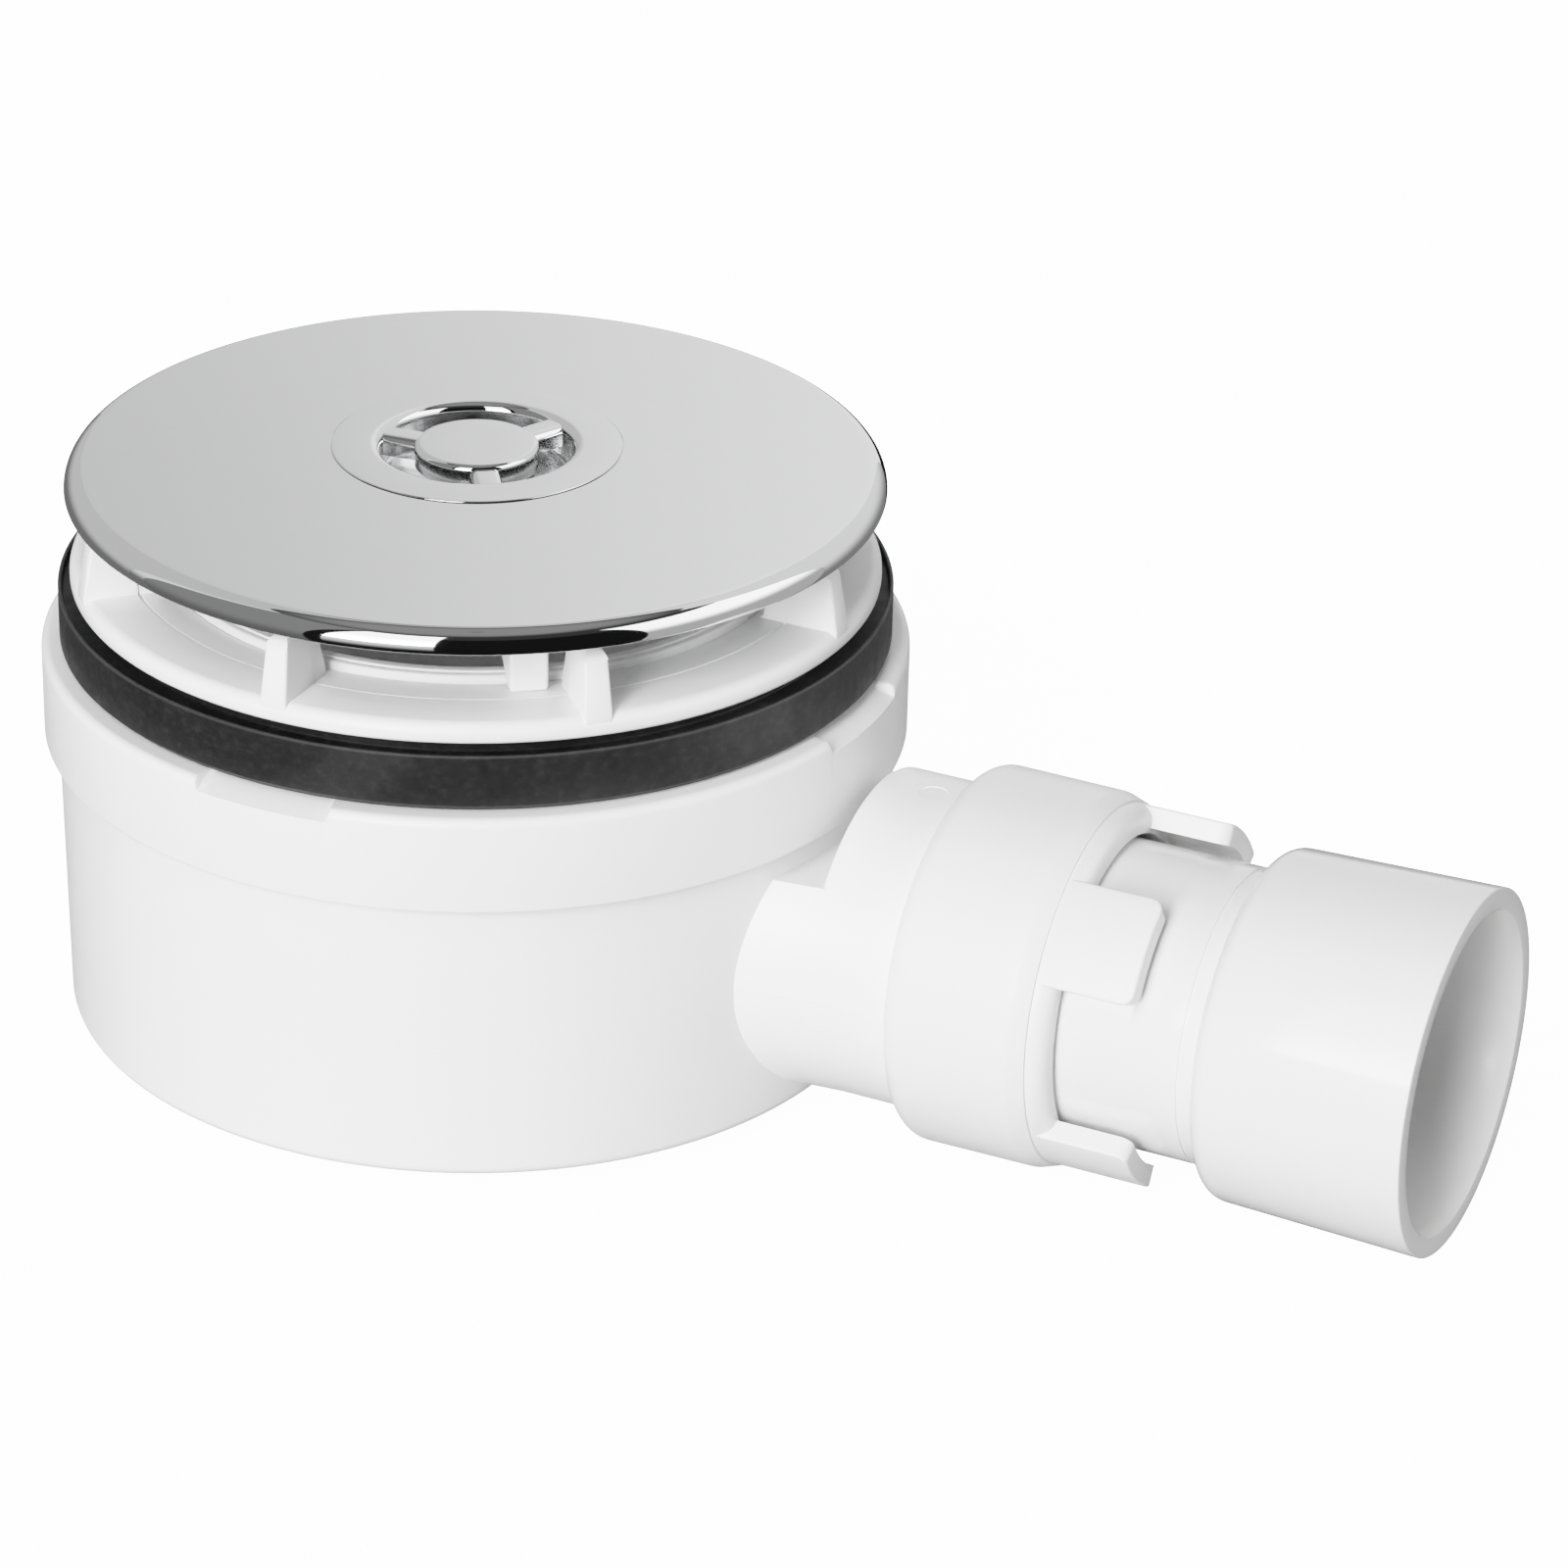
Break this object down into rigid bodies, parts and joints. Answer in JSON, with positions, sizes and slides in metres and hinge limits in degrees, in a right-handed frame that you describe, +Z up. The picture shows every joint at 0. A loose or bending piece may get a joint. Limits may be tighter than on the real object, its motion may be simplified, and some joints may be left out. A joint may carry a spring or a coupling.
{
  "type": "shower trap",
  "caption": "Low shower trap: chrome domed cap over a ribbed flange, black tray gasket, white round bowl and a horizontal outlet with a lugged union nut and a pipe socket.",
  "frame": {"origin": "the waste axis on the flat underside of the bowl", "axes": "+Z up along the waste axis, +X out of the outlet socket along its axis"},
  "size_m": [0.2085, 0.1208, 0.0864],
  "materials": {
    "white_body": "moulded white plastic, soft gloss",
    "white_fitting": "moulded white pipe plastic, soft gloss",
    "black_rubber": "matt black rubber, slightly mottled",
    "chrome": "bright chrome"
  },
  "bodies": {
    "root": {"bowl": "white_body", "weir_cup": "white_body", "top_ring": "white_body", "tray_gasket": "black_rubber", "flange_seal": "black_rubber", "flange_collar": "white_body", "dip_tube": "white_body", "dip_tube_o_ring": "black_rubber", "cap_dome": "chrome", "cap_grip": "chrome", "cap_spider": "white_body", "cone_seal": "black_rubber", "slip_washer": "white_fitting", "union_nut": "white_fitting", "outlet_tail": "white_fitting"}
  },
  "joints": []
}
